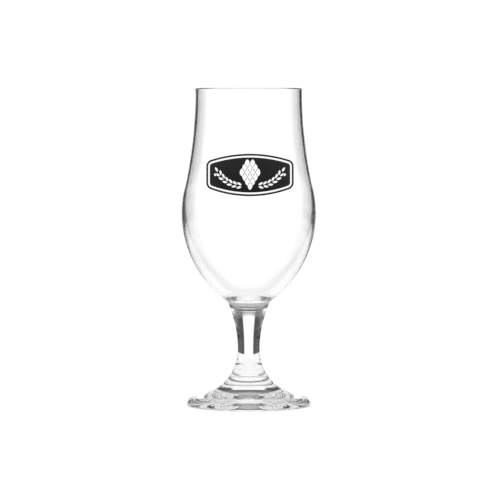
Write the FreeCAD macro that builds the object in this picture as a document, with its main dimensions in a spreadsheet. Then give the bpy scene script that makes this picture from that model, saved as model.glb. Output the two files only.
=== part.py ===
"""Stemmed pint beer glass with a printed badge, as a parametric FreeCAD document.

The glass is three pieces welded hot, end to end: a blown tulip bowl, a solid drawn stem and a
pressed foot. One section sketch holds the whole outline, so that the pieces meet with no step,
and a band between two weld heights takes each piece out of the revolved section. The badge is
fired enamel on the outside of the bowl: a skin that follows the bowl, cut to the printed areas.

Frame: origin at the centre of the base, on the surface that the glass stands on. +Z is up along
the axis, and the badge faces -Y. Millimetres and degrees.
"""
import FreeCAD, Part
import math
import os

import Sketcher

V = FreeCAD.Vector

DIMENSIONS = {
    # whole glass
    "height": 205.0,
    # bowl, outside
    "rim_radius": 34.55,
    "rim_wall": 1.7,
    "neck_bend": 295.0,
    "belly_radius": 43.35,
    "belly_bend": 69.6,
    "weld_fillet": 3.3,
    # bowl, inside
    "belly_wall": 2.1,
    "inside_lift": 3.4,
    "bowl_floor": 69.6,
    # stem
    "bowl_weld": 63.7,
    "waist_radius": 7.15,
    "waist_height": 36.7,
    "stem_top_bend": 75.4,
    "stem_foot_bend": 29.8,
    "foot_weld": 19.5,
    # foot
    "flare_radius": 25.5,
    "foot_radius": 39.9,
    "foot_shoulder": 4.8,
    "foot_edge": 1.3,
    "ring_radius": 33.0,
    "underside_rise": 4.6,
    # how far a cutting tool reaches past the glass that it cuts
    "tool_reach": 5.0,
    # badge: its place, its outline and its three printed or clear bands
    "print_thickness": 0.12,
    "print_margin": 4.0,
    "badge_height": 150.3,
    "badge_offset": 0.8,
    "badge_half_width": 27.8,
    "badge_half_height": 13.35,
    "badge_bow": 78.0,
    "badge_corner": 4.4,
    "border_width": 1.2,
    "keyline_width": 1.1,
    # badge: hop cone, left clear of enamel
    "scale_width": 2.9,
    "scale_length": 5.0,
    "scale_pitch": 3.35,
    "scale_row": 2.85,
    "cone_lift": 0.2,
    # badge: barley ears, left clear of enamel
    "ear_pivot_across": 5.0,
    "ear_pivot_up": 11.2,
    "ear_bend": 18.0,
    "ear_start": -84.0,
    "grain_step": 9.6,
    "grain_length": 3.3,
    "grain_width": 1.35,
    "grain_spread": 1.15,
    "grain_lean": 24.0,
    # badge: small diamonds, left clear of enamel
    "diamond_across": 22.0,
    "diamond_size": 2.0,
}

CONE_ROWS = (2, 3, 4, 3, 2, 1)
GRAINS_PER_SIDE = 6


def make_sheet(doc):
    """The driving dimensions, one aliased cell each."""
    sheet = doc.addObject("Spreadsheet::Sheet", "dims")
    for row, (name, value) in enumerate(DIMENSIONS.items(), start=1):
        sheet.set(f"A{row}", name)
        sheet.set(f"B{row}", str(value))
        sheet.setAlias(f"B{row}", name)
    doc.recompute()
    return sheet


def number(sketch, expression):
    """The plain value of an expression in the sheet's dimensions."""
    value = sketch.evalExpression(expression)
    return float(getattr(value, "Value", value))


def polar(centre, radius, angle):
    """The point at an angle, in radians, on a circle in the sketch plane."""
    return V(centre.x + radius * math.cos(angle), centre.y + radius * math.sin(angle), 0)


def towards(centre, radius, point):
    """Where the ray from a circle's centre through a point meets the circle."""
    return centre + (point - centre).normalize() * radius


def circle_meeting(centre_a, reach_a, centre_b, reach_b):
    """The point, nearest the axis, that lies reach_a from centre_a and reach_b from centre_b."""
    across = centre_b - centre_a
    gap = across.Length
    along = (reach_a**2 - reach_b**2 + gap**2) / (2 * gap)
    aside = math.sqrt(reach_a**2 - along**2)
    across.normalize()
    normal = V(-across.y, across.x, 0)
    both = [centre_a + across * along + normal * side for side in (aside, -aside)]
    return min(both, key=lambda point: point.x)


class Section:
    """A closed chain of lines and arcs in a sketch, each joined to the one before it.

    START, END and CENTRE are the sketcher's own numbers for a curve's points.
    """

    START, END, CENTRE = 1, 2, 3
    ORIGIN = (-1, 1)

    def __init__(self, sketch):
        self.sketch = sketch
        self.first = None
        self.tail = None

    def _joined(self, curve, head, tail, smooth):
        if self.tail is not None:
            kind = "Tangent" if smooth else "Coincident"
            self.sketch.addConstraint(Sketcher.Constraint(kind, *self.tail, curve, head))
        else:
            self.first = (curve, head)
        self.tail = (curve, tail)
        return curve

    def line(self, start, end, smooth=False):
        curve = self.sketch.addGeometry(Part.LineSegment(start, end), False)
        return self._joined(curve, self.START, self.END, smooth)

    def arc(self, centre, start, end, turns_left, smooth=True):
        """An arc about centre from start to end, anticlockwise when turns_left is true."""
        first, last = (start, end) if turns_left else (end, start)
        angles = [math.atan2(p.y - centre.y, p.x - centre.x) for p in (first, last)]
        if angles[1] <= angles[0]:
            angles[1] += 2 * math.pi
        circle = Part.Circle(centre, V(0, 0, 1), (start - centre).Length)
        curve = self.sketch.addGeometry(Part.ArcOfCircle(circle, *angles), False)
        ends = (self.START, self.END) if turns_left else (self.END, self.START)
        return self._joined(curve, *ends, smooth)

    def close(self, smooth=False):
        kind = "Tangent" if smooth else "Coincident"
        self.sketch.addConstraint(Sketcher.Constraint(kind, *self.tail, *self.first))

    def bind(self, name, expression, kind, *where):
        """Adds a named dimension whose value comes from the sheet."""
        value = number(self.sketch, expression)
        index = self.sketch.addConstraint(Sketcher.Constraint(kind, *where, value))
        self.sketch.renameConstraint(index, name)
        self.sketch.setExpression("Constraints." + name, expression)

    def place(self, name, point, across, up):
        """Binds a point's two distances from the sketch's origin."""
        self.bind(name + "_across", across, "DistanceX", *self.ORIGIN, *point)
        self.bind(name + "_up", up, "DistanceY", *self.ORIGIN, *point)

    def level(self, point_a, point_b):
        self.sketch.addConstraint(Sketcher.Constraint("Horizontal", *point_a, *point_b))

    def plumb(self, point_a, point_b):
        self.sketch.addConstraint(Sketcher.Constraint("Vertical", *point_a, *point_b))


def new_body(doc, name):
    body = doc.addObject("PartDesign::Body", name)
    body.Label = name
    return body


def plane_sketch(body, name, role):
    """A sketch on one of the body's own origin planes."""
    sketch = body.newObject("Sketcher::SketchObject", name)
    plane = next(f for f in body.Origin.OriginFeatures if f.Role == role)
    sketch.AttachmentSupport = (plane, "")
    sketch.MapMode = "FlatFace"
    return sketch


def badge_sketch(body, name, across="0", up="0", turn=0.0):
    """A sketch on the front plane, at a distance from the badge's centre and turned in degrees."""
    sketch = plane_sketch(body, name, "XZ_Plane")
    sketch.AttachmentOffset = FreeCAD.Placement(V(0, 0, 0), FreeCAD.Rotation(V(0, 0, 1), turn))
    sketch.setExpression("AttachmentOffset.Base.x", f"dims.badge_offset + ({across})")
    sketch.setExpression("AttachmentOffset.Base.y", f"dims.badge_height + ({up})")
    return sketch


def revolved(body, sketch, name):
    feature = body.newObject("PartDesign::Revolution", name)
    feature.Profile = sketch
    feature.ReferenceAxis = (sketch, ["V_Axis"])
    feature.Angle = 360.0
    sketch.Visibility = False
    return feature


def padded(body, sketch, name):
    """A pad towards the front, long enough to pass right through the wall of the bowl."""
    pad = body.newObject("PartDesign::Pad", name)
    pad.Profile = sketch
    pad.setExpression("Length", "dims.belly_radius + dims.tool_reach")
    sketch.Visibility = False
    return pad


def pocketed(body, sketch, name):
    """A pocket through the whole pad that the sketch's body holds."""
    pocket = body.newObject("PartDesign::Pocket", name)
    pocket.Profile = sketch
    pocket.Type = "ThroughAll"
    pocket.Midplane = True
    sketch.Visibility = False
    return pocket


def common(doc, name, base, tool):
    both = doc.addObject("Part::Common", name)
    both.Label = name
    both.Base = base
    both.Tool = tool
    return both


# ---- glass -------------------------------------------------------------------------------------


def outside_bends(d):
    """The centres of the bowl's two outside bends: a long hollow neck, then a round belly."""
    neck_centre = V(d.rim_radius + d.neck_bend, d.height - d.rim_wall / 2, 0)
    set_back = d.belly_bend - d.belly_radius
    drop = math.sqrt((d.neck_bend + d.belly_bend) ** 2 - (neck_centre.x + set_back) ** 2)
    return neck_centre, V(-set_back, neck_centre.y - drop, 0)


def draw_glass_section(sketch, d):
    """The whole glass in half section: sketch x is the radius and sketch y the height."""
    s = Section(sketch)
    centre, start, end = Section.CENTRE, Section.START, Section.END
    lip = d.rim_wall / 2
    lip_height = d.height - lip
    lip_centre = V(d.rim_radius - lip, lip_height, 0)
    lip_out = V(d.rim_radius, lip_height, 0)
    lip_in = V(d.rim_radius - d.rim_wall, lip_height, 0)

    # outside of the bowl
    neck_centre, belly_centre = outside_bends(d)
    inflection = towards(neck_centre, d.neck_bend, belly_centre)

    # stem: two hollow bends that share the waist
    waist = V(d.waist_radius, d.waist_height, 0)
    upper_centre = V(d.waist_radius + d.stem_top_bend, d.waist_height, 0)
    lower_centre = V(d.waist_radius + d.stem_foot_bend, d.waist_height, 0)

    # the small hollow bend where the belly runs into the stem
    fillet_centre = circle_meeting(
        belly_centre, d.belly_bend + d.weld_fillet,
        upper_centre, d.stem_top_bend - d.weld_fillet,
    )
    fillet_top = towards(belly_centre, d.belly_bend, fillet_centre)
    fillet_foot = towards(upper_centre, d.stem_top_bend, fillet_centre)

    # foot: a wider hollow bend, a round shoulder, a small lower edge and a flat resting ring
    flare_turn = math.acos((lower_centre.x - d.flare_radius) / d.stem_foot_bend)
    flare = polar(lower_centre, d.stem_foot_bend, math.pi + flare_turn)
    outward = (lower_centre - flare).normalize()
    shoulder_centre = V(d.foot_radius - d.foot_shoulder, d.foot_edge, 0)
    gap = flare - shoulder_centre
    top_bend = (gap.Length**2 - d.foot_shoulder**2) / (2 * (d.foot_shoulder - outward.dot(gap)))
    top_centre = flare + outward * top_bend
    shoulder_top = towards(shoulder_centre, d.foot_shoulder, top_centre)
    widest = V(d.foot_radius, d.foot_edge, 0)
    edge_centre = V(d.foot_radius - d.foot_edge, d.foot_edge, 0)
    edge_foot = V(edge_centre.x, 0, 0)
    ring_inside = V(d.ring_radius, 0, 0)
    crown = V(0, d.underside_rise, 0)
    dome_bend = (d.ring_radius**2 + d.underside_rise**2) / (2 * d.underside_rise)
    dome_centre = V(0, d.underside_rise - dome_bend, 0)

    # inside of the bowl: the same bends, with the belly's centre lifted to thicken the base
    inner_bend = d.belly_bend - d.belly_wall
    inner_centre = V(belly_centre.x, belly_centre.y + d.inside_lift, 0)
    fall = lip_height - inner_centre.y
    run = (inner_centre.x + inner_bend) - lip_in.x
    inner_neck_bend = (fall**2 + run**2) / (2 * run) - inner_bend
    inner_neck_centre = V(lip_in.x + inner_neck_bend, lip_height, 0)
    inner_inflection = towards(inner_neck_centre, inner_neck_bend, inner_centre)
    depth = inner_centre.y - d.bowl_floor
    floor_bend = (inner_bend**2 - inner_centre.x**2 - depth**2) / (2 * (inner_bend - depth))
    floor_centre = V(0, d.bowl_floor + floor_bend, 0)
    floor_edge = towards(inner_centre, inner_bend, floor_centre)
    floor_middle = V(0, d.bowl_floor, 0)

    rim = s.arc(lip_centre, lip_in, lip_out, turns_left=False)
    neck = s.arc(neck_centre, lip_out, inflection, turns_left=True)
    belly = s.arc(belly_centre, inflection, fillet_top, turns_left=False)
    fillet = s.arc(fillet_centre, fillet_top, fillet_foot, turns_left=True)
    upper = s.arc(upper_centre, fillet_foot, waist, turns_left=True)
    lower = s.arc(lower_centre, waist, flare, turns_left=True)
    s.arc(top_centre, flare, shoulder_top, turns_left=True)
    shoulder = s.arc(shoulder_centre, shoulder_top, widest, turns_left=False)
    edge = s.arc(edge_centre, widest, edge_foot, turns_left=False)
    ring = s.line(edge_foot, ring_inside, smooth=True)
    dome = s.arc(dome_centre, ring_inside, crown, turns_left=True, smooth=False)
    core = s.line(crown, floor_middle)
    floor = s.arc(floor_centre, floor_middle, floor_edge, turns_left=True, smooth=False)
    inner_belly = s.arc(inner_centre, floor_edge, inner_inflection, turns_left=True)
    inner_neck = s.arc(inner_neck_centre, inner_inflection, lip_in, turns_left=False)
    s.close(smooth=True)

    s.place("lip", (neck, start), "dims.rim_radius", "dims.height - dims.rim_wall / 2")
    s.bind("lip_bend", "dims.rim_wall / 2", "Radius", rim)
    s.level((neck, start), (neck, centre))
    s.level((inner_neck, start), (inner_neck, centre))
    s.bind("neck_bend", "dims.neck_bend", "Radius", neck)
    s.bind("belly_bend", "dims.belly_bend", "Radius", belly)
    s.bind("belly_set_back", "dims.belly_bend - dims.belly_radius",
           "DistanceX", belly, centre, *s.ORIGIN)
    s.bind("weld_fillet", "dims.weld_fillet", "Radius", fillet)
    s.bind("stem_top_bend", "dims.stem_top_bend", "Radius", upper)
    s.bind("stem_foot_bend", "dims.stem_foot_bend", "Radius", lower)
    s.level((lower, start), (lower, centre))
    s.place("waist", (lower, start), "dims.waist_radius", "dims.waist_height")
    s.bind("flare_radius", "dims.flare_radius", "DistanceX", *s.ORIGIN, lower, end)
    s.bind("foot_shoulder", "dims.foot_shoulder", "Radius", shoulder)
    s.bind("foot_edge", "dims.foot_edge", "Radius", edge)
    s.bind("foot_radius", "dims.foot_radius", "DistanceX", *s.ORIGIN, edge, end)
    s.level((edge, end), (edge, centre))
    s.level(s.ORIGIN, (ring, start))
    s.level(s.ORIGIN, (ring, end))
    s.bind("ring_radius", "dims.ring_radius", "DistanceX", *s.ORIGIN, ring, end)
    s.plumb(s.ORIGIN, (dome, centre))
    s.plumb(s.ORIGIN, (core, start))
    s.plumb(s.ORIGIN, (core, end))
    s.plumb(s.ORIGIN, (floor, centre))
    s.bind("underside_rise", "dims.underside_rise", "DistanceY", *s.ORIGIN, core, start)
    s.bind("bowl_floor", "dims.bowl_floor", "DistanceY", *s.ORIGIN, core, end)
    s.bind("inner_bend", "dims.belly_bend - dims.belly_wall", "Radius", inner_belly)
    s.plumb((belly, centre), (inner_belly, centre))
    s.bind("inside_lift", "dims.inside_lift", "DistanceY", belly, centre, inner_belly, centre)


def make_glass_section(doc, sheet):
    body = new_body(doc, "glass_section")
    sketch = plane_sketch(body, "glass_outline", "XZ_Plane")
    draw_glass_section(sketch, sheet)
    revolved(body, sketch, "glass_revolved")
    return body


def make_band(doc, name, low, high):
    """A disc-shaped band of the glass between two heights, given as expressions."""
    band = doc.addObject("Part::Cylinder", name)
    band.setExpression("Radius", "dims.belly_radius + dims.tool_reach")
    band.setExpression("Height", f"({high}) - ({low})")
    band.setExpression("Placement.Base.z", low)
    return band


def make_glass_pieces(doc, sheet):
    """The bowl, the stem and the foot: the section between the welds."""
    section = make_glass_section(doc, sheet)
    spans = {
        "bowl": ("dims.bowl_weld", "dims.height + dims.tool_reach"),
        "stem": ("dims.foot_weld", "dims.bowl_weld"),
        "foot": ("-dims.tool_reach", "dims.foot_weld"),
    }
    return [
        common(doc, name, section, make_band(doc, name + "_band", low, high))
        for name, (low, high) in spans.items()
    ]


# ---- badge -------------------------------------------------------------------------------------


def draw_print_skin(sketch, d):
    """The skin of enamel in half section: the bowl's own bends, and the same ones further out."""
    s = Section(sketch)
    centre, start = Section.CENTRE, Section.START
    neck_centre, belly_centre = outside_bends(d)
    reach = d.badge_half_height + d.print_margin
    top, bottom = d.badge_height + reach, d.badge_height - reach

    def bends(offset):
        """The skin's top, inflection and bottom at an offset from the bowl."""
        neck_bend, belly_bend = d.neck_bend - offset, d.belly_bend + offset
        top_x = neck_centre.x - math.sqrt(neck_bend**2 - (neck_centre.y - top) ** 2)
        bottom_x = belly_centre.x + math.sqrt(belly_bend**2 - (belly_centre.y - bottom) ** 2)
        inflection = towards(neck_centre, neck_bend, belly_centre)
        return V(top_x, top, 0), inflection, V(bottom_x, bottom, 0)

    inner_top, inner_turn, inner_bottom = bends(0.0)
    outer_top, outer_turn, outer_bottom = bends(d.print_thickness)
    s.line(inner_top, outer_top)
    outer_neck = s.arc(neck_centre, outer_top, outer_turn, turns_left=True, smooth=False)
    outer_belly = s.arc(belly_centre, outer_turn, outer_bottom, turns_left=False)
    s.line(outer_bottom, inner_bottom)
    inner_belly = s.arc(belly_centre, inner_bottom, inner_turn, turns_left=True, smooth=False)
    inner_neck = s.arc(neck_centre, inner_turn, inner_top, turns_left=False)
    s.close()

    s.place("neck_centre", (inner_neck, centre), "dims.rim_radius + dims.neck_bend",
            "dims.height - dims.rim_wall / 2")
    s.bind("neck_bend", "dims.neck_bend", "Radius", inner_neck)
    s.bind("belly_bend", "dims.belly_bend", "Radius", inner_belly)
    s.bind("belly_set_back", "dims.belly_bend - dims.belly_radius",
           "DistanceX", inner_belly, centre, *s.ORIGIN)
    s.bind("print_bend", "dims.neck_bend - dims.print_thickness", "Radius", outer_neck)
    sketch.addConstraint(
        Sketcher.Constraint("Coincident", outer_neck, centre, inner_neck, centre))
    sketch.addConstraint(
        Sketcher.Constraint("Coincident", outer_belly, centre, inner_belly, centre))
    reach = "dims.badge_half_height + dims.print_margin"
    s.bind("top", f"dims.badge_height + {reach}", "DistanceY", *s.ORIGIN, inner_neck, start)
    s.bind("bottom", f"dims.badge_height - ({reach})", "DistanceY", *s.ORIGIN, inner_belly, start)
    s.level((inner_neck, start), (outer_neck, start))
    s.level((inner_belly, start), (outer_belly, start))


def make_print_skin(doc, sheet):
    body = new_body(doc, "print_skin")
    sketch = plane_sketch(body, "print_outline", "XZ_Plane")
    draw_print_skin(sketch, sheet)
    revolved(body, sketch, "print_revolved")
    return body


def draw_cask(sketch, name, inset):
    """The badge's outline, like a cask on its side, moved inwards by an expression.

    Two long arcs make the top and the bottom, two upright lines the ends, and the corners are
    rounded.
    """
    s = Section(sketch)
    centre = Section.CENTRE
    bow_value = number(sketch, f"dims.badge_bow - ({inset})")
    corner_value = number(sketch, f"dims.badge_corner - ({inset})")
    side = number(sketch, f"dims.badge_half_width - ({inset})")
    bow_drop = number(sketch, "dims.badge_bow - dims.badge_half_height")
    across = side - corner_value
    up = math.sqrt((bow_value - corner_value) ** 2 - across**2) - bow_drop

    def meeting(right, high):
        """Where the corner at the right or left (1 or -1), high or low, leaves the long arc."""
        bow_centre = V(0, -high * bow_drop, 0)
        return towards(bow_centre, bow_value, V(right * across, high * up, 0))

    def beside(right, high):
        """Where the same corner meets the upright end."""
        return V(right * side, high * up, 0)

    ends, corners, bows = [], [], []
    for right, high in ((1, 1), (-1, -1)):
        ends.append(s.line(beside(right, -high), beside(right, high), smooth=True))
        corners.append(s.arc(V(right * across, high * up, 0), beside(right, high),
                             meeting(right, high), turns_left=True))
        bows.append(s.arc(V(0, -high * bow_drop, 0), meeting(right, high),
                          meeting(-right, high), turns_left=True))
        corners.append(s.arc(V(-right * across, high * up, 0), meeting(-right, high),
                             beside(-right, high), turns_left=True))
    s.close(smooth=True)

    for place, right in enumerate((1, -1)):
        s.plumb((ends[place], Section.START), (ends[place], Section.END))
        s.bind(f"{name}_end_{place}", f"{right} * (dims.badge_half_width - ({inset}))",
               "DistanceX", *s.ORIGIN, ends[place], Section.START)
        s.bind(f"{name}_bow_{place}", f"dims.badge_bow - ({inset})", "Radius", bows[place])
        s.bind(f"{name}_drop_{place}", f"{-right} * (dims.badge_bow - dims.badge_half_height)",
               "DistanceY", *s.ORIGIN, bows[place], centre)
        s.plumb(s.ORIGIN, (bows[place], centre))
    for place, corner in enumerate(corners):
        s.bind(f"{name}_corner_{place}", f"dims.badge_corner - ({inset})", "Radius", corner)


def draw_leaf(sketch, name, base, tip, width):
    """A pointed oval between two points. Points are pairs of expressions, and so is the width."""
    s = Section(sketch)
    first = V(*[number(sketch, e) for e in base], 0)
    last = V(*[number(sketch, e) for e in tip], 0)
    wide = number(sketch, width)
    along = last - first
    bend = (along.Length**2 + wide**2) / (4 * wide)
    middle = (first + last) * 0.5
    aside = V(-along.y, along.x, 0).normalize() * (bend - wide / 2)
    out = s.arc(middle + aside, first, last, turns_left=True, smooth=False)
    back = s.arc(middle - aside, last, first, turns_left=True, smooth=False)
    s.close()
    s.place(name + "_base", (out, Section.START), *base)
    s.place(name + "_tip", (back, Section.START), *tip)
    length = f"(({tip[0]}) - ({base[0]}))^2 + (({tip[1]}) - ({base[1]}))^2"
    for side, curve in (("out", out), ("back", back)):
        s.bind(f"{name}_{side}", f"(({length}) + ({width})^2) / (4 * ({width}))",
               "Radius", curve)


def draw_hop_cone(sketch):
    """Rows of pointed scales, each row half a pitch across from the one above it."""
    last = len(CONE_ROWS) - 1
    for row, count in enumerate(CONE_ROWS):
        for place in range(count):
            across = f"{place - (count - 1) / 2} * dims.scale_pitch"
            middle = f"dims.cone_lift + {last / 2 - row} * dims.scale_row"
            draw_leaf(
                sketch, f"scale_{row}_{place}",
                (across, f"{middle} + dims.scale_length / 2"),
                (across, f"{middle} - dims.scale_length / 2"),
                "dims.scale_width",
            )


def draw_grain_pair(sketch, grow):
    """Two grains that lean outwards from the ear's spine, which here runs up or down."""
    half_out = "dims.grain_length / 2 * sin(dims.grain_lean)"
    half_up = "dims.grain_length / 2 * cos(dims.grain_lean)"
    for name, side in (("inner", -1), ("outer", 1)):
        draw_leaf(
            sketch, name,
            (f"dims.ear_bend + {side} * (dims.grain_spread - {half_out})",
             f"{-grow} * {half_up}"),
            (f"dims.ear_bend + {side} * (dims.grain_spread + {half_out})",
             f"{grow} * {half_up}"),
            "dims.grain_width",
        )


def draw_last_grain(sketch, grow):
    """The single grain at the ear's tip, in line with the spine."""
    draw_leaf(
        sketch, "last_grain",
        ("dims.ear_bend", "0"),
        ("dims.ear_bend", f"{grow} * dims.grain_length"),
        "dims.grain_width",
    )


def cut_barley_ear(body, d, name, grow):
    """Cuts one ear: pairs of grains repeated about the ear's pivot, and the grain at its tip.

    grow is 1 for the ear on the right, which climbs anticlockwise, and -1 for its mirror image.
    """
    pivot = (f"{grow} * dims.ear_pivot_across", "dims.ear_pivot_up")

    def facing(steps):
        """The sketch's turn, in degrees, after a number of grain steps."""
        turn = d.ear_start + steps * d.grain_step
        return turn if grow > 0 else 180 - turn

    pair = badge_sketch(body, name + "_pair", *pivot, turn=facing(0))
    draw_grain_pair(pair, grow)
    pocket = pocketed(body, pair, name + "_pair_cut")
    body.Document.recompute()
    ear = body.newObject("PartDesign::PolarPattern", name)
    ear.Originals = [pocket]
    ear.Axis = (pair, ["N_Axis"])
    ear.Reversed = grow < 0
    ear.Occurrences = GRAINS_PER_SIDE
    ear.setExpression("Angle", f"{GRAINS_PER_SIDE - 1} * dims.grain_step")
    body.Tip = ear
    tip = badge_sketch(body, name + "_tip", *pivot, turn=facing(GRAINS_PER_SIDE - 0.5))
    draw_last_grain(tip, grow)
    pocketed(body, tip, name + "_tip_cut")


def draw_diamond(sketch, name, side):
    """A small diamond near one end of the badge."""
    s = Section(sketch)
    across = f"{side} * dims.diamond_across"
    corners = [
        (f"{across} + dims.diamond_size / 2", "0"),
        (across, "dims.diamond_size / 2"),
        (f"{across} - dims.diamond_size / 2", "0"),
        (across, "-dims.diamond_size / 2"),
    ]
    points = [V(number(sketch, x), number(sketch, y), 0) for x, y in corners]
    for place, (point, following) in enumerate(zip(points, points[1:] + points[:1])):
        line = s.line(point, following)
        s.place(f"{name}_{place}", (line, Section.START), *corners[place])
    s.close()


def make_border_punch(doc):
    """The badge's outer line, cut straight back from the front."""
    body = new_body(doc, "border_punch")
    sketch = badge_sketch(body, "border_lines")
    draw_cask(sketch, "outer", "0")
    draw_cask(sketch, "inner", "dims.border_width")
    padded(body, sketch, "border_pad")
    return body


def make_panel_punch(doc, sheet):
    """The badge's field, with its ornament left clear, cut straight back from the front."""
    body = new_body(doc, "panel_punch")
    field = badge_sketch(body, "field_outline")
    draw_cask(field, "field", "dims.border_width + dims.keyline_width")
    padded(body, field, "field_pad")
    cone = badge_sketch(body, "hop_scales")
    draw_hop_cone(cone)
    pocketed(body, cone, "hop_cone")
    diamonds = badge_sketch(body, "diamond_outlines")
    draw_diamond(diamonds, "right", 1)
    draw_diamond(diamonds, "left", -1)
    pocketed(body, diamonds, "diamonds")
    cut_barley_ear(body, sheet, "right_ear", 1)
    cut_barley_ear(body, sheet, "left_ear", -1)
    return body


def make_badge(doc, sheet):
    """The two printed areas, as skins on the bowl."""
    skin = make_print_skin(doc, sheet)
    return [
        common(doc, "badge_border", skin, make_border_punch(doc)),
        common(doc, "badge_panel", skin, make_panel_punch(doc, sheet)),
    ]


# ---- document ----------------------------------------------------------------------------------


def check(doc, nodes):
    """Stops if any object failed to recompute, or if a piece isn't one sound solid."""
    for item in doc.Objects:
        if "Invalid" in item.State or "Error" in item.State:
            raise RuntimeError(f"{item.Name} did not recompute: {item.State}")
    for node in nodes:
        shape = node.Shape
        if shape.isNull() or not shape.isValid() or len(shape.Solids) != 1:
            raise RuntimeError(f"{node.Label} isn't one sound solid")


def main():
    doc = FreeCAD.newDocument("pint_glass")
    sheet = make_sheet(doc)
    nodes = make_glass_pieces(doc, sheet) + make_badge(doc, sheet)
    doc.recompute()
    check(doc, nodes)
    os.makedirs("parts", exist_ok=True)
    for node in nodes:
        node.Shape.exportStep(f"parts/{node.Label}.step")
        print(f"{node.Label}: {node.Shape.Volume / 1000:.3f} cm3, {len(node.Shape.Faces)} faces")


main()
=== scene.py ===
"""Looks for the stemmed pint beer glass: clear glass in three welded pieces and a printed badge.

Everything is in metres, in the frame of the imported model: +Z up along the axis of the glass, the
origin at the centre of the base, and the badge facing -Y.
"""

import logging
import math
from dataclasses import dataclass
from enum import Enum
from typing import ClassVar

import bmesh
import bpy
from mathutils import Matrix, Vector

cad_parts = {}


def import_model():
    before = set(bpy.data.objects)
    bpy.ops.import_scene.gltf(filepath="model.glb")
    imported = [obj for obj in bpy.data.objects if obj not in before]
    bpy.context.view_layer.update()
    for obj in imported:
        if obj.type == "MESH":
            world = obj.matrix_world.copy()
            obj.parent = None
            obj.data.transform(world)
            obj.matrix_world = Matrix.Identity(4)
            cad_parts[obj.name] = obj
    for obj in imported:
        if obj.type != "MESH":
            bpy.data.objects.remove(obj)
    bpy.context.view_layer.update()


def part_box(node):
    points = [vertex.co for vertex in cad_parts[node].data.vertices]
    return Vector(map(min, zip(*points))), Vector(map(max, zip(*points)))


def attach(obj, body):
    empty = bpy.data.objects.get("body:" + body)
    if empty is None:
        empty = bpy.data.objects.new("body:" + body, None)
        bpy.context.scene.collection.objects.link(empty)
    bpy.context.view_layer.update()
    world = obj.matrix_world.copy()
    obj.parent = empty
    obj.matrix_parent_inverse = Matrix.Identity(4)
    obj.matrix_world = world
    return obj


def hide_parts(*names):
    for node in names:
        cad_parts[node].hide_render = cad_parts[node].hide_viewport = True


log = logging.getLogger("pint_glass")

TURNS = 256
MERGE = 1e-7
WELD_EDGE = math.radians(45)
PRINT_EDGE = math.radians(35)
UP = Vector((0, 0, 1))
TOWARDS_VIEWER = Vector((0, -1, 0))


def flat(across: float, up: float) -> Vector:
    """Return the point at these two distances in the plane y = 0."""
    return Vector((across, 0.0, up))


def towards(centre: Vector, radius: float, point: Vector) -> Vector:
    """Find where the ray from a circle's centre through a point meets the circle.

    Args:
        centre: Centre of the circle.
        radius: Radius of the circle.
        point: Any other point that the ray passes through.

    Returns:
        The point on the circle.
    """
    return centre + (point - centre).normalized() * radius


def circle_meeting(centre_a: Vector, reach_a: float, centre_b: Vector, reach_b: float) -> Vector:
    """Find the point, nearest the axis, at two given distances from two centres.

    Args:
        centre_a: First centre.
        reach_a: Distance from the first centre.
        centre_b: Second centre.
        reach_b: Distance from the second centre.

    Returns:
        The meeting point with the smaller distance across.
    """
    across = centre_b - centre_a
    gap = across.length
    along = (reach_a**2 - reach_b**2 + gap**2) / (2 * gap)
    aside = math.sqrt(reach_a**2 - along**2)
    across.normalize()
    normal = flat(-across.z, across.x)
    both = [centre_a + across * along + normal * side for side in (aside, -aside)]
    return min(both, key=lambda point: point.x)


class Bend(Enum):
    """Which way an arc goes round its centre, seen with x to the right and z up."""

    LEFT = 1
    RIGHT = -1


class Outline:
    """A chain of edges in the plane y = 0, drawn by spinning its last vertex about centres."""

    def __init__(self, mesh: bmesh.types.BMesh, start: Vector) -> None:
        """Start the chain.

        Args:
            mesh: The bmesh that takes the chain.
            start: Its first point.
        """
        self.mesh = mesh
        self.last = mesh.verts.new(start)

    def arc(self, centre: Vector, end: Vector, bend: Bend, step: float) -> None:
        """Spin the last vertex about a centre, as far as the direction of a point.

        Args:
            centre: Centre of the arc.
            end: The point that the arc ends at.
            bend: Which way the arc goes round.
            step: Longest edge that the arc may have.
        """
        spoke = self.last.co - centre
        goal = end - centre
        start_angle = math.atan2(spoke.z, spoke.x)
        turn = bend.value * (math.atan2(goal.z, goal.x) - start_angle) % math.tau
        steps = max(2, math.ceil(turn * spoke.length / step))
        made = bmesh.ops.spin(
            self.mesh, geom=[self.last], cent=centre, axis=TOWARDS_VIEWER,
            angle=bend.value * turn, steps=steps, use_merge=False, use_duplicate=False,
        )
        self.last = next(g for g in made["geom_last"] if isinstance(g, bmesh.types.BMVert))

    def line(self, end: Vector, steps: int = 1) -> None:
        """Extrude the last vertex in a straight line.

        Args:
            end: The point that the line ends at.
            steps: Number of equal edges.
        """
        move = (end - self.last.co) / steps
        for _ in range(steps):
            made = bmesh.ops.extrude_vert_indiv(self.mesh, verts=[self.last])
            self.last = made["verts"][0]
            bmesh.ops.translate(self.mesh, verts=[self.last], vec=move)


# ---- finishes ----------------------------------------------------------------------------------


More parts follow.
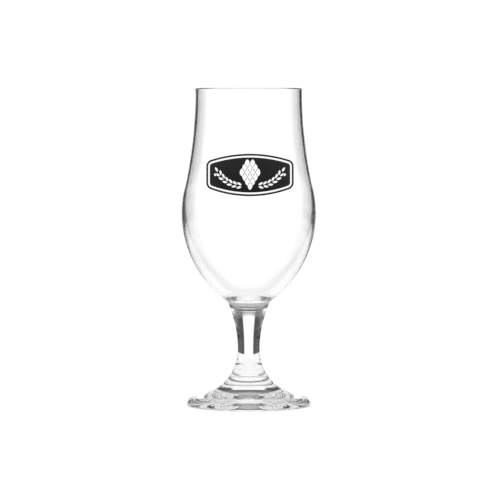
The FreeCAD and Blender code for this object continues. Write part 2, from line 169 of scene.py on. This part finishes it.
class NodeSheet:
    """A node tree, with short calls to add and join its nodes."""

    def __init__(self, owner: bpy.types.Material | bpy.types.World, output: str) -> None:
        """Start from an empty tree with an output node.

        Args:
            owner: The material or world that holds the tree.
            output: Blender's name for the output node.
        """
        owner.use_nodes = True
        self.owner = owner
        self.tree = owner.node_tree
        self.tree.nodes.clear()
        self.output = self.tree.nodes.new(output)

    @classmethod
    def material(cls, name: str) -> "NodeSheet":
        """Make an empty material of this name."""
        return cls(bpy.data.materials.new(name), "ShaderNodeOutputMaterial")

    def add(self, kind: str, **values: object) -> bpy.types.Node:
        """Add a node and set its sockets.

        Args:
            kind: Blender's name for the node type.
            **values: Socket values, with underscores for the spaces in the sockets' names.

        Returns:
            The new node.
        """
        node = self.tree.nodes.new(kind)
        for name, value in values.items():
            node.inputs[name.replace("_", " ")].default_value = value
        return node

    def join(self, source: bpy.types.NodeSocket, target: bpy.types.NodeSocket) -> None:
        """Link two sockets."""
        self.tree.links.new(source, target)

    def noise(self, scale: float, detail: float, roughness: float = 0.5) -> bpy.types.Node:
        """Add a noise texture on the object's own coordinates.

        Args:
            scale: Cells per metre.
            detail: Number of octaves.
            roughness: How strong the finer octaves are.

        Returns:
            The noise node.
        """
        place = self.add("ShaderNodeTexCoord")
        noise = self.add("ShaderNodeTexNoise", Scale=scale, Detail=detail, Roughness=roughness)
        self.join(place.outputs["Object"], noise.inputs["Vector"])
        return noise

    def remap(self, source: bpy.types.NodeSocket, low: float, high: float) -> bpy.types.NodeSocket:
        """Stretch a 0 to 1 value to another range.

        Args:
            source: Socket with the value.
            low: Result for 0.
            high: Result for 1.

        Returns:
            The socket with the result.
        """
        node = self.add("ShaderNodeMapRange", To_Min=low, To_Max=high)
        self.join(source, node.inputs["Value"])
        return node.outputs["Result"]

    def calculate(
        self, operation: str, first: bpy.types.NodeSocket,
        second: bpy.types.NodeSocket | float = 0.0,
    ) -> bpy.types.NodeSocket:
        """Work out a value from one or two others.

        Args:
            operation: Blender's name for the operation.
            first: Socket with the first value.
            second: Socket with the second value, or a number.

        Returns:
            The socket with the result.
        """
        node = self.tree.nodes.new("ShaderNodeMath")
        node.operation = operation
        self.join(first, node.inputs[0])
        if isinstance(second, bpy.types.NodeSocket):
            self.join(second, node.inputs[1])
        else:
            node.inputs[1].default_value = second
        return node.outputs["Value"]

    def blend(
        self, share: bpy.types.NodeSocket, first: bpy.types.NodeSocket | float,
        second: bpy.types.NodeSocket | float,
    ) -> bpy.types.NodeSocket:
        """Mix two values.

        Args:
            share: Socket with the second value's share.
            first: Socket with the first value, or a number.
            second: Socket with the second value, or a number.

        Returns:
            The socket with the result.
        """
        node = self.add("ShaderNodeMix")
        self.join(share, node.inputs["Factor"])
        for name, value in (("A", first), ("B", second)):
            if isinstance(value, bpy.types.NodeSocket):
                self.join(value, node.inputs[name])
            else:
                node.inputs[name].default_value = value
        return node.outputs["Result"]

    def ramp(self, source: bpy.types.NodeSocket, start: float, end: float) -> bpy.types.NodeSocket:
        """Rise smoothly from 0 to 1 as a value passes from start to end.

        Args:
            source: Socket with the value.
            start: Where the result is still 0.
            end: Where the result is 1.

        Returns:
            The socket with the result.
        """
        node = self.add("ShaderNodeMapRange", From_Min=start, From_Max=end)
        node.interpolation_type = "SMOOTHSTEP"
        self.join(source, node.inputs["Value"])
        return node.outputs["Result"]

    def bump(
        self, height: bpy.types.NodeSocket, depth: float, strength: float = 1.0
    ) -> bpy.types.Node:
        """Add a bump node.

        Args:
            height: Socket with the height.
            depth: Height of the bumps, in metres.
            strength: How much of the bump shows.

        Returns:
            The bump node.
        """
        node = self.add("ShaderNodeBump", Distance=depth, Strength=strength)
        self.join(height, node.inputs["Height"])
        return node


@dataclass(frozen=True)
class ClearGlass:
    """Clear soda-lime glass, fire-polished, with the faint waviness that its making leaves.

    Attributes:
        name: Name of the material.
        tint: Colour of the surface's transmission.
        ior: Refractive index.
        wave_scale: Waves per metre.
        wave_depth: Height of the waves, in metres.
    """

    name: str
    tint: tuple[float, float, float, float] = (0.992, 0.993, 0.993, 1.0)
    ior: float = 1.52
    wave_scale: float = 60.0
    wave_depth: float = 0.00002

    def make(self) -> bpy.types.Material:
        """Build the material."""
        sheet = NodeSheet.material(self.name)
        shader = sheet.add(
            "ShaderNodeBsdfPrincipled", Base_Color=self.tint, Roughness=0.0, IOR=self.ior,
            Transmission_Weight=1.0,
        )
        waves = sheet.noise(self.wave_scale, detail=1.0)
        bump = sheet.bump(waves.outputs["Fac"], self.wave_depth)
        sheet.join(bump.outputs["Normal"], shader.inputs["Normal"])
        sheet.join(shader.outputs["BSDF"], sheet.output.inputs["Surface"])
        return sheet.owner


@dataclass(frozen=True)
class FusedWeld:
    """The inside of a hot weld, where two pieces are one glass and light passes straight on."""

    name: str = "fused_weld"

    def make(self) -> bpy.types.Material:
        """Build the material."""
        sheet = NodeSheet.material(self.name)
        shader = sheet.add("ShaderNodeBsdfTransparent")
        sheet.join(shader.outputs["BSDF"], sheet.output.inputs["Surface"])
        return sheet.owner


@dataclass(frozen=True)
class FiredEnamel:
    """Black screen-printed enamel, fired on: glossy, with a faint grain from the mesh.

    Attributes:
        name: Name of the material.
        dark: Darkest colour.
        light: Lightest colour.
        gloss: Lowest and highest roughness.
        cloud_scale: Slow changes of colour and gloss per metre.
        grain_scale: Grains per metre.
        grain_depth: Height of the grain, in metres.
    """

    name: str = "black_enamel"
    dark: tuple[float, float, float, float] = (0.004, 0.004, 0.0045, 1.0)
    light: tuple[float, float, float, float] = (0.013, 0.013, 0.014, 1.0)
    gloss: tuple[float, float] = (0.22, 0.36)
    cloud_scale: float = 140.0
    grain_scale: float = 1800.0
    grain_depth: float = 0.000008

    def make(self) -> bpy.types.Material:
        """Build the material."""
        sheet = NodeSheet.material(self.name)
        shader = sheet.add("ShaderNodeBsdfPrincipled", IOR=1.5, Specular_IOR_Level=0.35)
        grain = sheet.noise(self.grain_scale, detail=2.0)
        cloud = sheet.noise(self.cloud_scale, detail=3.0)
        colour = sheet.add("ShaderNodeMix")
        colour.data_type = "RGBA"
        colour.inputs["A"].default_value = self.dark
        colour.inputs["B"].default_value = self.light
        sheet.join(cloud.outputs["Fac"], colour.inputs["Factor"])
        sheet.join(colour.outputs["Result"], shader.inputs["Base Color"])
        rough = sheet.remap(cloud.outputs["Fac"], *self.gloss)
        sheet.join(rough, shader.inputs["Roughness"])
        bump = sheet.bump(grain.outputs["Fac"], self.grain_depth)
        sheet.join(bump.outputs["Normal"], shader.inputs["Normal"])
        sheet.join(shader.outputs["BSDF"], sheet.output.inputs["Surface"])
        return sheet.owner


# ---- glass -------------------------------------------------------------------------------------


@dataclass
class GlassShape:
    """Driving sizes of the whole glass, and the centres of the bends that they fix.

    Attributes:
        height: Height of the rim.
        belly_radius: Widest radius of the bowl.
        foot_radius: Radius of the foot.
        bowl_weld: Height of the weld between the bowl and the stem.
        foot_weld: Height of the weld between the stem and the foot.
    """

    height: float
    belly_radius: float
    foot_radius: float
    bowl_weld: float
    foot_weld: float
    rim_radius: float = 0.03455
    rim_wall: float = 0.0017
    neck_bend: float = 0.2950
    belly_bend: float = 0.0696
    weld_fillet: float = 0.0033
    belly_wall: float = 0.0021
    inside_lift: float = 0.0034
    bowl_floor: float = 0.0696
    waist_radius: float = 0.00715
    waist_height: float = 0.0367
    stem_top_bend: float = 0.0754
    stem_foot_bend: float = 0.0298
    flare_radius: float = 0.0255
    foot_shoulder: float = 0.0048
    foot_edge: float = 0.0013
    ring_radius: float = 0.0330
    underside_rise: float = 0.0046

    @classmethod
    def from_frame(cls) -> "GlassShape":
        """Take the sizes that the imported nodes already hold."""
        (bowl_low, bowl_high), (foot_low, foot_high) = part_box("bowl"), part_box("foot")
        return cls(
            height=bowl_high.z,
            belly_radius=bowl_high.x,
            foot_radius=foot_high.x,
            bowl_weld=bowl_low.z,
            foot_weld=foot_high.z,
        )

    def __post_init__(self) -> None:
        """Work out the centres of the bends and the points where they meet."""
        lip = self.rim_wall / 2
        self.lip_height = self.height - lip
        self.lip_centre = flat(self.rim_radius - lip, self.lip_height)
        self.lip_out = flat(self.rim_radius, self.lip_height)
        self.lip_in = flat(self.rim_radius - self.rim_wall, self.lip_height)
        self.neck_centre = flat(self.rim_radius + self.neck_bend, self.lip_height)
        belly_x = self.belly_radius - self.belly_bend
        reach = self.neck_bend + self.belly_bend
        drop = math.sqrt(reach**2 - (self.neck_centre.x - belly_x) ** 2)
        self.belly_centre = flat(belly_x, self.lip_height - drop)
        self.turn = towards(self.neck_centre, self.neck_bend, self.belly_centre)
        self._work_out_stem()
        self._work_out_foot()
        self._work_out_inside()

    def _work_out_stem(self) -> None:
        """Work out the stem's two hollow bends and the fillet under the belly."""
        self.waist = flat(self.waist_radius, self.waist_height)
        self.upper_centre = self.waist + flat(self.stem_top_bend, 0)
        self.lower_centre = self.waist + flat(self.stem_foot_bend, 0)
        self.fillet_centre = circle_meeting(
            self.belly_centre, self.belly_bend + self.weld_fillet,
            self.upper_centre, self.stem_top_bend - self.weld_fillet,
        )
        self.fillet_top = towards(self.belly_centre, self.belly_bend, self.fillet_centre)
        self.fillet_foot = towards(self.upper_centre, self.stem_top_bend, self.fillet_centre)

    def _work_out_foot(self) -> None:
        """Work out the bends of the foot's top, its edge and its underside."""
        side = self.lower_centre.x - self.flare_radius
        fall = math.sqrt(self.stem_foot_bend**2 - side**2)
        self.flare = self.lower_centre - flat(side, fall)
        outward = (self.lower_centre - self.flare).normalized()
        self.shoulder_centre = flat(self.foot_radius - self.foot_shoulder, self.foot_edge)
        gap = self.flare - self.shoulder_centre
        top_bend = (gap.length**2 - self.foot_shoulder**2) / (
            2 * (self.foot_shoulder - outward.dot(gap)))
        self.top_centre = self.flare + outward * top_bend
        self.shoulder_top = towards(self.shoulder_centre, self.foot_shoulder, self.top_centre)
        self.widest = flat(self.foot_radius, self.foot_edge)
        self.edge_centre = flat(self.foot_radius - self.foot_edge, self.foot_edge)
        self.edge_foot = flat(self.edge_centre.x, 0)
        rise = self.underside_rise
        dome_bend = (self.ring_radius**2 + rise**2) / (2 * rise)
        self.dome_centre = flat(0, rise - dome_bend)

    def _work_out_inside(self) -> None:
        """Work out the bends inside the bowl."""
        bend = self.belly_bend - self.belly_wall
        self.inner_centre = self.belly_centre + flat(0, self.inside_lift)
        fall = self.lip_height - self.inner_centre.z
        run = self.inner_centre.x + bend - self.lip_in.x
        neck_bend = (fall**2 + run**2) / (2 * run) - bend
        self.inner_neck_centre = self.lip_in + flat(neck_bend, 0)
        self.inner_turn = towards(self.inner_neck_centre, neck_bend, self.inner_centre)
        depth = self.inner_centre.z - self.bowl_floor
        floor_bend = (bend**2 - self.inner_centre.x**2 - depth**2) / (2 * (bend - depth))
        self.floor_centre = flat(0, self.bowl_floor + floor_bend)
        self.floor_edge = towards(self.inner_centre, bend, self.floor_centre)

    def stem_edge(self, height: float) -> Vector:
        """Find the stem's outside at a height.

        Args:
            height: Height above the base.

        Returns:
            The point on the upper or the lower bend.
        """
        above = height > self.waist_height
        centre = self.upper_centre if above else self.lower_centre
        bend = self.stem_top_bend if above else self.stem_foot_bend
        return flat(centre.x - math.sqrt(bend**2 - (height - centre.z) ** 2), height)

    def bowl_radius(self, height: float) -> float:
        """Find the outside radius of the bowl's neck or upper belly.

        Args:
            height: Height above the base.

        Returns:
            The radius.
        """
        if height > self.turn.z:
            return self.neck_centre.x - math.sqrt(
                self.neck_bend**2 - (height - self.neck_centre.z) ** 2)
        return self.belly_centre.x + math.sqrt(
            self.belly_bend**2 - (height - self.belly_centre.z) ** 2)


@dataclass
class GlassPiece:
    """One of the three welded pieces, turned about the axis from its outline.

    Attributes:
        shape: Sizes of the whole glass.
        finish: The glass that it is made of.
        node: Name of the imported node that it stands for.
        name: Name of the finished piece.
        welds: Heights of its flat welded ends.
        groove: Width of the hollow line that the weld leaves round the outside.
        step: Longest edge along the outline.
    """

    shape: GlassShape
    finish: ClearGlass
    node: str
    name: str
    welds: tuple[float, ...]
    groove: float = 0.00022
    step: float = 0.0011

    def draw(self, mesh: bmesh.types.BMesh) -> None:
        """Draw the outline, from one point on the axis to another."""
        raise NotImplementedError

    def build(self) -> bpy.types.Object:
        """Turn the outline into a closed piece, dress it and set it in the frame.

        Returns:
            The finished object.
        """
        mesh = bmesh.new()
        self.draw(mesh)
        bmesh.ops.spin(
            mesh, geom=[*mesh.verts, *mesh.edges], cent=(0, 0, 0), axis=UP,
            angle=math.tau, steps=TURNS, use_merge=True, use_duplicate=False,
        )
        bmesh.ops.remove_doubles(mesh, verts=mesh.verts[:], dist=MERGE)
        self._soften(mesh)
        bmesh.ops.recalc_face_normals(mesh, faces=mesh.faces[:])
        self._mark_welds(mesh)
        piece = finished_object(mesh, self.name, [self.finish.make(), FusedWeld().make()])
        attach(piece, "root")
        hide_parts(self.node)
        return piece

    def _soften(self, mesh: bmesh.types.BMesh) -> None:
        """Round the outer edge of each weld, so that the two pieces meet in a fine groove."""
        rims = [
            edge for edge in mesh.edges
            if edge.calc_face_angle(0.0) > WELD_EDGE
            and any(abs(vert.co.z - weld) < MERGE for vert in edge.verts for weld in self.welds)
        ]
        bmesh.ops.bevel(
            mesh, geom=rims, offset=self.groove, segments=2, profile=0.5, affect="EDGES",
            material=-1,
        )

    def _mark_welds(self, mesh: bmesh.types.BMesh) -> None:
        """Give the welded ends their own material and a sharp border."""
        for face in mesh.faces:
            face.smooth = True
            if any(
                all(abs(vert.co.z - weld) < MERGE for vert in face.verts) for weld in self.welds
            ):
                face.material_index = 1
                for edge in face.edges:
                    edge.smooth = False


@dataclass
class BlownBowl(GlassPiece):
    """The tulip bowl, from the weld on the stem up to the rim and down to its thick bottom."""

    def draw(self, mesh: bmesh.types.BMesh) -> None:
        """Draw the outline, from the middle of the weld to the middle of the bowl's floor."""
        s = self.shape
        weld_edge = s.stem_edge(s.bowl_weld)
        line = Outline(mesh, flat(0, s.bowl_weld))
        line.line(weld_edge, steps=6)
        line.arc(s.upper_centre, s.fillet_foot, Bend.RIGHT, self.step / 2)
        line.arc(s.fillet_centre, s.fillet_top, Bend.RIGHT, self.step / 4)
        line.arc(s.belly_centre, s.turn, Bend.LEFT, self.step)
        line.arc(s.neck_centre, s.lip_out, Bend.RIGHT, self.step)
        line.arc(s.lip_centre, s.lip_in, Bend.LEFT, s.rim_wall / 10)
        line.arc(s.inner_neck_centre, s.inner_turn, Bend.LEFT, self.step)
        line.arc(s.inner_centre, s.floor_edge, Bend.RIGHT, self.step)
        line.arc(s.floor_centre, flat(0, s.bowl_floor), Bend.RIGHT, self.step)


@dataclass
class DrawnStem(GlassPiece):
    """The solid stem, waisted between its two welds."""

    def draw(self, mesh: bmesh.types.BMesh) -> None:
        """Draw the outline, from the middle of the lower weld to that of the upper one."""
        s = self.shape
        line = Outline(mesh, flat(0, s.foot_weld))
        line.line(s.stem_edge(s.foot_weld), steps=6)
        line.arc(s.lower_centre, s.waist, Bend.RIGHT, self.step / 2)
        line.arc(s.upper_centre, s.stem_edge(s.bowl_weld), Bend.RIGHT, self.step / 2)
        line.line(flat(0, s.bowl_weld), steps=6)


@dataclass
class PressedFoot(GlassPiece):
    """The wide foot, with a resting ring and a shallow dome beneath.

    Attributes:
        ring_round: Size of the rounding where the ring meets the dome.
    """

    ring_round: float = 0.0009

    def draw(self, mesh: bmesh.types.BMesh) -> None:
        """Draw the outline, from the middle of the weld to the crown of the underside."""
        s = self.shape
        line = Outline(mesh, flat(0, s.foot_weld))
        line.line(s.stem_edge(s.foot_weld), steps=6)
        line.arc(s.lower_centre, s.flare, Bend.LEFT, self.step / 2)
        line.arc(s.top_centre, s.shoulder_top, Bend.LEFT, self.step / 2)
        line.arc(s.shoulder_centre, s.widest, Bend.RIGHT, self.step / 4)
        line.arc(s.edge_centre, s.edge_foot, Bend.RIGHT, self.step / 8)
        line.line(flat(s.ring_radius, 0), steps=6)
        line.arc(s.dome_centre, flat(0, s.underside_rise), Bend.LEFT, self.step / 2)

    def _soften(self, mesh: bmesh.types.BMesh) -> None:
        """Round the weld's edge, and the corner where the ring meets the dome."""
        super()._soften(mesh)
        ring = self.shape.ring_radius
        corner = [
            edge for edge in mesh.edges
            if all(abs(v.co.z) < MERGE and abs(v.co.length - ring) < MERGE * 10 for v in edge.verts)
        ]
        bmesh.ops.bevel(
            mesh, geom=corner, offset=self.ring_round, segments=5, profile=0.5,
            affect="EDGES", material=-1,
        )


def finished_object(
    mesh: bmesh.types.BMesh, name: str, materials: list[bpy.types.Material]
) -> bpy.types.Object:
    """Make an object of a bmesh, at the origin.

    Args:
        mesh: The finished bmesh, which is freed.
        name: Name of the object.
        materials: Its materials, in slot order.

    Returns:
        The new object.
    """
    data = bpy.data.meshes.new(name)
    mesh.to_mesh(data)
    mesh.free()
    for material in materials:
        data.materials.append(material)
    piece = bpy.data.objects.new(name, data)
    bpy.context.collection.objects.link(piece)
    log.info("%s: %d faces", name, len(data.polygons))
    return piece


# ---- badge -------------------------------------------------------------------------------------


@dataclass
class PrintedBadge:
    """The badge, drawn flat and then laid on the bowl as a skin of enamel.

    Attributes:
        shape: Sizes of the glass that it is printed on.
        finish: The enamel.
    """

    shape: GlassShape
    finish: FiredEnamel
    height: float = 0.1503
    offset: float = 0.0008
    half_width: float = 0.0278
    half_height: float = 0.01335
    bow: float = 0.0780
    corner: float = 0.0044
    border_width: float = 0.0012
    keyline_width: float = 0.0011
    thickness: float = 0.00012
    sunk: float = 0.00003
    scale_width: float = 0.0029
    scale_length: float = 0.0050
    scale_pitch: float = 0.00335
    scale_row: float = 0.00285
    cone_lift: float = 0.0002
    cone_rows: tuple[int, ...] = (2, 3, 4, 3, 2, 1)
    ear_pivot: tuple[float, float] = (0.0050, 0.0112)
    ear_bend: float = 0.0180
    ear_start: float = math.radians(-84)
    grain_step: float = math.radians(9.6)
    grain_length: float = 0.0033
    grain_width: float = 0.00135
    grain_spread: float = 0.00115
    grain_lean: float = math.radians(24)
    grain_pairs: int = 6
    diamond_across: float = 0.0220
    diamond_size: float = 0.0020
    step: float = 0.0003
    cell: float = 0.0010

    def cask(self, mesh: bmesh.types.BMesh, inset: float) -> None:
        """Draw the outline of a cask on its side: two long arcs, two ends and round corners.

        Args:
            mesh: The bmesh that takes the outline.
            inset: How far inside the badge's own outline it lies.
        """
        side = self.half_width - inset
        corner = self.corner - inset
        bow = self.bow - inset
        drop = self.bow - self.half_height
        across = side - corner
        up = math.sqrt((bow - corner) ** 2 - across**2) - drop
        line = Outline(mesh, flat(side, -up))
        for way in (1, -1):
            bow_centre = flat(0, -way * drop)
            right, left = flat(way * across, way * up), flat(-way * across, way * up)
            line.line(flat(way * side, way * up))
            line.arc(right, towards(bow_centre, bow, right), Bend.LEFT, self.step)
            line.arc(bow_centre, towards(bow_centre, bow, left), Bend.LEFT, self.step * 3)
            line.arc(left, flat(-way * side, way * up), Bend.LEFT, self.step)

    def leaf(self, mesh: bmesh.types.BMesh, base: Vector, tip: Vector, width: float) -> None:
        """Draw a pointed oval.

        Args:
            mesh: The bmesh that takes the outline.
            base: One point of the oval.
            tip: The other point.
            width: Its greatest width.
        """
        along = tip - base
        bend = (along.length**2 + width**2) / (4 * width)
        middle = (base + tip) / 2
        aside = flat(-along.z, along.x).normalized() * (bend - width / 2)
        line = Outline(mesh, base)
        line.arc(middle + aside, tip, Bend.LEFT, self.step)
        line.arc(middle - aside, base, Bend.LEFT, self.step)

    def hop_cone(self, mesh: bmesh.types.BMesh) -> None:
        """Draw rows of pointed scales, each row half a pitch across from the one above it."""
        half = flat(0, self.scale_length / 2)
        middle_row = (len(self.cone_rows) - 1) / 2
        for row, count in enumerate(self.cone_rows):
            for place in range(count):
                middle = flat(
                    (place - (count - 1) / 2) * self.scale_pitch,
                    self.cone_lift + (middle_row - row) * self.scale_row,
                )
                self.leaf(mesh, middle + half, middle - half, self.scale_width)

    def barley_ear(self, mesh: bmesh.types.BMesh, side: int) -> None:
        """Draw pairs of grains that climb about a pivot, and a single grain at the tip.

        Args:
            mesh: The bmesh that takes the outlines.
            side: 1 for the ear on the right, -1 for its mirror image.
        """
        half_out = self.grain_length / 2 * math.sin(self.grain_lean)
        half_up = self.grain_length / 2 * math.cos(self.grain_lean)
        pivot = flat(*self.ear_pivot)
        mirror = Matrix.Diagonal((side, 1, 1))

        def place(out: float, up: float, turn: float) -> Vector:
            """Turn a point of an upright grain about the pivot, and mirror it for the left."""
            turned = Matrix.Rotation(-turn, 3, "Y") @ flat(out, up)
            return mirror @ (pivot + turned)

        for pair in range(self.grain_pairs):
            turn = self.ear_start + pair * self.grain_step
            for way in (-1, 1):
                base = place(self.ear_bend + way * (self.grain_spread - half_out), -half_up, turn)
                tip = place(self.ear_bend + way * (self.grain_spread + half_out), half_up, turn)
                self.leaf(mesh, base, tip, self.grain_width)
        turn = self.ear_start + (self.grain_pairs - 0.5) * self.grain_step
        base, tip = place(self.ear_bend, 0, turn), place(self.ear_bend, self.grain_length, turn)
        self.leaf(mesh, base, tip, self.grain_width)

    def diamond(self, mesh: bmesh.types.BMesh, side: int) -> None:
        """Draw a small diamond near one end.

        Args:
            mesh: The bmesh that takes the outline.
            side: 1 for the right end, -1 for the left.
        """
        middle = flat(side * self.diamond_across, 0)
        reach = self.diamond_size / 2
        line = Outline(mesh, middle + flat(reach, 0))
        for corner in (flat(0, reach), flat(-reach, 0), flat(0, -reach), flat(reach, 0)):
            line.line(middle + corner)

    def build(self) -> list[bpy.types.Object]:
        """Print both areas.

        Returns:
            The outer line and the field.
        """
        border = bmesh.new()
        self.cask(border, 0.0)
        self.cask(border, self.border_width)
        panel = bmesh.new()
        self.cask(panel, self.border_width + self.keyline_width)
        self.hop_cone(panel)
        for side in (1, -1):
            self.barley_ear(panel, side)
            self.diamond(panel, side)
        enamel = self.finish.make()
        return [
            self._print(border, "badge_border_print", "badge_border", enamel),
            self._print(panel, "badge_panel_print", "badge_panel", enamel),
        ]

    def _print(
        self, mesh: bmesh.types.BMesh, name: str, node: str, enamel: bpy.types.Material
    ) -> bpy.types.Object:
        """Fill the flat outlines, lay the area on the bowl and give it its thickness.

        Args:
            mesh: The bmesh with the outlines.
            name: Name of the finished piece.
            node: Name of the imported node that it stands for.
            enamel: Its material.

        Returns:
            The finished object.
        """
        bmesh.ops.remove_doubles(mesh, verts=mesh.verts[:], dist=MERGE * 10)
        bmesh.ops.triangle_fill(mesh, use_beauty=True, edges=mesh.edges[:])
        self._cut_into_cells(mesh)
        bmesh.ops.translate(mesh, verts=mesh.verts[:], vec=flat(self.offset, self.height))
        made = bmesh.ops.extrude_face_region(mesh, geom=mesh.faces[:], use_keep_orig=True)
        raised = [g for g in made["geom"] if isinstance(g, bmesh.types.BMVert)]
        bmesh.ops.translate(
            mesh, verts=raised, vec=TOWARDS_VIEWER * (self.thickness + self.sunk))
        for vert in mesh.verts:
            radius = self.shape.bowl_radius(vert.co.z) - self.sunk - vert.co.y
            vert.co.y = -math.sqrt(radius**2 - vert.co.x**2)
        bmesh.ops.recalc_face_normals(mesh, faces=mesh.faces[:])
        for face in mesh.faces:
            face.smooth = True
        for edge in mesh.edges:
            edge.smooth = edge.calc_face_angle(0.0) < PRINT_EDGE
        piece = finished_object(mesh, name, [enamel])
        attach(piece, "root")
        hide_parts(node)
        return piece

    def _cut_into_cells(self, mesh: bmesh.types.BMesh) -> None:
        """Cut the flat area into small cells, so that it can follow the bowl."""
        for reach, normal in ((self.half_width, flat(1, 0)), (self.half_height, flat(0, 1))):
            count = math.ceil(reach / self.cell)
            for place in range(-count, count + 1):
                bmesh.ops.bisect_plane(
                    mesh, geom=[*mesh.verts, *mesh.edges, *mesh.faces], dist=MERGE,
                    plane_co=normal * (place * self.cell), plane_no=normal,
                )


# ---- studio ------------------------------------------------------------------------------------


@dataclass(frozen=True)
class LightRing:
    """How bright the room is in each direction round the axis.

    Attributes:
        stops: Pairs of an azimuth and a level, in order. Azimuths are in degrees round from the
            side that the badge faces, towards +X. The level changes evenly between two stops.
        brightest: Highest level that a ring can hold.
    """

    stops: tuple[tuple[float, float], ...]
    brightest: ClassVar[float] = 4.0

    def level(self, sheet: NodeSheet, share: bpy.types.NodeSocket) -> bpy.types.NodeSocket:
        """Add the ring to a node tree.

        Args:
            sheet: The node tree.
            share: Socket with the azimuth, as a share of a full turn.

        Returns:
            The socket with the level.
        """
        ramp = sheet.add("ShaderNodeValToRGB")
        sheet.join(share, ramp.inputs["Fac"])
        elements = ramp.color_ramp.elements
        for index, (azimuth, level) in enumerate(self.stops):
            place = azimuth / 360
            element = elements[index] if index < 2 else elements.new(place)
            element.position = place
            element.color = (*[level / self.brightest] * 3, 1)
        return sheet.calculate("MULTIPLY", ramp.outputs["Color"], self.brightest)


@dataclass
class Studio:
    """A plain pale floor in a soft white room, with a dark card at each side of the screen.

    The screen stands behind the glass, on the side that the badge faces away from. Bands of the
    room are given by the upward part of a direction, from -1 straight down to 1 straight up.

    Attributes:
        around: The room from just under the horizon up to the screen's top edge.
        floor: Level of the room's low parts.
        above: Level over the screen's top edge.
        ceiling: Level overhead.
        floor_band: Where the low parts end and the ring is full.
        above_band: Where the ring ends and the part above it is full.
        ceiling_band: Where that part ends and the ceiling is full.
        white: Level of the room as the camera sees it.
        table_white: Glow of the round floor piece, without its shading.
        table_diffuse: How much of the light on it the floor piece scatters.
        table_radius: Radius of the floor piece.
        camera_distance: Distance of the camera from the axis.
        camera_height: Height of the camera.
        camera_aside: How far the camera stands towards +X.
        camera_tilt: How far the camera looks down.
        lens: Focal length, in millimetres.
    """

    around: LightRing = LightRing((
        (0, 0.9), (104, 0.9), (114, 0.03), (162, 0.03), (166, 1.12), (194, 1.12),
        (198, 0.03), (246, 0.03), (256, 0.9), (360, 0.9),
    ))
    floor: float = 0.97
    above: float = 0.15
    ceiling: float = 0.5
    floor_band: tuple[float, float] = (-0.24, -0.18)
    above_band: tuple[float, float] = (0.24, 0.36)
    ceiling_band: tuple[float, float] = (0.55, 0.75)
    white: float = 1.06
    table_white: float = 0.96
    table_diffuse: float = 0.1
    table_radius: float = 0.16
    camera_distance: float = 2.400
    camera_height: float = 0.22067
    camera_aside: float = 0.00081
    camera_tilt: float = math.radians(2.86)
    lens: float = 268.6

    def set_up(self) -> None:
        """Make the table, the light and the camera."""
        self._set_table()
        self._set_world()
        self._set_camera()
        scene = bpy.context.scene
        scene.view_settings.view_transform = "Standard"
        scene.cycles.max_bounces = 32
        scene.cycles.transmission_bounces = 32
        scene.cycles.transparent_max_bounces = 32
        scene.cycles.glossy_bounces = 12

    def _set_table(self) -> None:
        """Make the round floor piece: plain white, and softly lit from all over."""
        mesh = bmesh.new()
        bmesh.ops.create_circle(mesh, cap_ends=True, segments=96, radius=self.table_radius)
        sheet = NodeSheet.material("white_table")
        glow = sheet.add("ShaderNodeEmission", Color=(1, 1, 1, 1), Strength=self.table_white)
        white = sheet.add("ShaderNodeBsdfDiffuse", Color=(*[self.table_diffuse] * 3, 1))
        both = sheet.add("ShaderNodeAddShader")
        sheet.join(glow.outputs["Emission"], both.inputs[0])
        sheet.join(white.outputs["BSDF"], both.inputs[1])
        sheet.join(both.outputs["Shader"], sheet.output.inputs["Surface"])
        table = finished_object(mesh, "white_table", [sheet.owner])

    def _set_world(self) -> None:
        """Make the room, which is plain white wherever it is looked at directly."""
        world = bpy.data.worlds.new("studio")
        bpy.context.scene.world = world
        sheet = NodeSheet(world, "ShaderNodeOutputWorld")
        seen = sheet.add("ShaderNodeLightPath")
        place = sheet.add("ShaderNodeTexCoord")
        parts = sheet.add("ShaderNodeSeparateXYZ")
        sheet.join(place.outputs["Generated"], parts.inputs["Vector"])
        front = sheet.calculate("MULTIPLY", parts.outputs["Y"], -1.0)
        angle = sheet.calculate("ARCTAN2", parts.outputs["X"], front)
        share = sheet.calculate("FRACT", sheet.calculate("DIVIDE", angle, math.tau))
        up = parts.outputs["Z"]
        level = sheet.blend(
            sheet.ramp(up, *self.floor_band), self.floor, self.around.level(sheet, share))
        level = sheet.blend(sheet.ramp(up, *self.above_band), level, self.above)
        level = sheet.blend(sheet.ramp(up, *self.ceiling_band), level, self.ceiling)
        level = sheet.blend(seen.outputs["Is Camera Ray"], level, self.white)
        background = sheet.add("ShaderNodeBackground", Color=(1, 1, 1, 1))
        sheet.join(level, background.inputs["Strength"])
        sheet.join(background.outputs["Background"], sheet.output.inputs["Surface"])

    def _set_camera(self) -> None:
        """Make the camera, level with the rim and looking slightly down."""
        data = bpy.data.cameras.new("camera")
        data.lens = self.lens
        camera = bpy.data.objects.new("camera", data)
        camera.location = (self.camera_aside, -self.camera_distance, self.camera_height)
        camera.rotation_euler = (math.pi / 2 - self.camera_tilt, 0, 0)
        bpy.context.collection.objects.link(camera)
        bpy.context.scene.camera = camera


def main() -> None:
    """Build the glass, print its badge and set up the studio."""
    logging.basicConfig(level=logging.INFO, format="%(name)s: %(message)s")
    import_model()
    shape = GlassShape.from_frame()
    pieces = [
        BlownBowl(shape, ClearGlass("bowl_glass"), "bowl", "bowl_blown", (shape.bowl_weld,)),
        DrawnStem(shape, ClearGlass("stem_glass"), "stem", "stem_drawn",
                  (shape.foot_weld, shape.bowl_weld)),
        PressedFoot(shape, ClearGlass("foot_glass"), "foot", "foot_pressed", (shape.foot_weld,)),
    ]
    for piece in pieces:
        piece.build()
    PrintedBadge(shape, FiredEnamel()).build()
    Studio().set_up()


if __name__ == "__main__":
    main()
